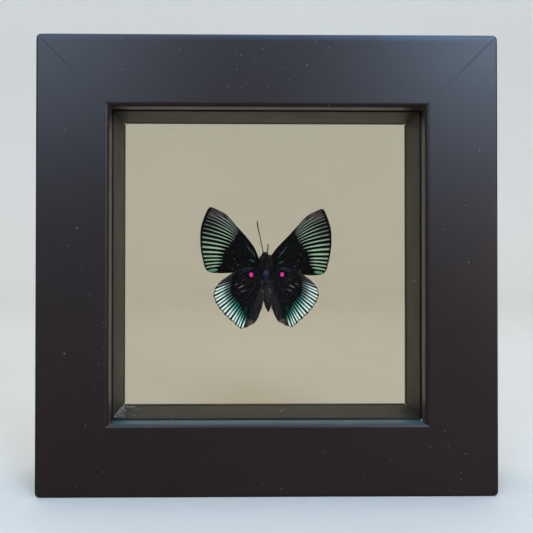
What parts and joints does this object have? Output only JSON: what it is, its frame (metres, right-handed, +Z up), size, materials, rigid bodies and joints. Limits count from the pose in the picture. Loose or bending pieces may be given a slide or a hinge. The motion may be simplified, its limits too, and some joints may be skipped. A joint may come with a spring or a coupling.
{
  "type": "framed butterfly specimen",
  "caption": "Small black butterfly with pale green and blue wing rays, held between two panes of clear glass in a deep square black wooden frame that stands on a shelf.",
  "frame": {"origin": "middle of the frame's underside, on the surface that it stands on", "axes": "+Z up the frame, +X to the right seen from the glazed front, -Y out of the front; the depth runs along Y"},
  "size_m": [0.15, 0.03, 0.15],
  "materials": {
    "black_lacquer": "satin black lacquer over close-grained wood, softened edges, a little dust",
    "spacer_black": "thin matt black stain on wooden strips, scuffed in the corners",
    "clear_glass": "clear float glass, two millimetres thick",
    "forewing_scales": "matt black wing scales with pale sage green rays towards the outer margin",
    "hindwing_scales": "matt black wing scales with pale ice blue rays and one bright pink spot",
    "body_hair": "dry black cuticle under fine dark hairs, with one glossy navy bare patch",
    "feeler_horn": "dry brown horn-like feelers and legs, fine rings",
    "clear_glue": "clear slightly yellow set glue"
  },
  "bodies": {
    "root": {"rail_bottom": "black_lacquer", "rail_right": "black_lacquer", "rail_top": "black_lacquer", "rail_left": "black_lacquer", "spacer_bottom": "spacer_black", "spacer_right": "spacer_black", "spacer_top": "spacer_black", "spacer_left": "spacer_black", "back_bead_bottom": "spacer_black", "back_bead_right": "spacer_black", "back_bead_top": "spacer_black", "back_bead_left": "spacer_black", "front_glass": "clear_glass", "back_glass": "clear_glass", "forewing_left": "forewing_scales", "forewing_right": "forewing_scales", "hindwing_left": "hindwing_scales", "hindwing_right": "hindwing_scales", "head": "body_hair", "thorax": "body_hair", "abdomen": "body_hair", "antenna_left": "feeler_horn", "antenna_right": "feeler_horn", "leg_front_left": "feeler_horn", "leg_front_right": "feeler_horn", "leg_middle_left": "feeler_horn", "leg_middle_right": "feeler_horn", "leg_hind_left": "feeler_horn", "leg_hind_right": "feeler_horn", "glue_dab": "clear_glue"}
  },
  "joints": []
}
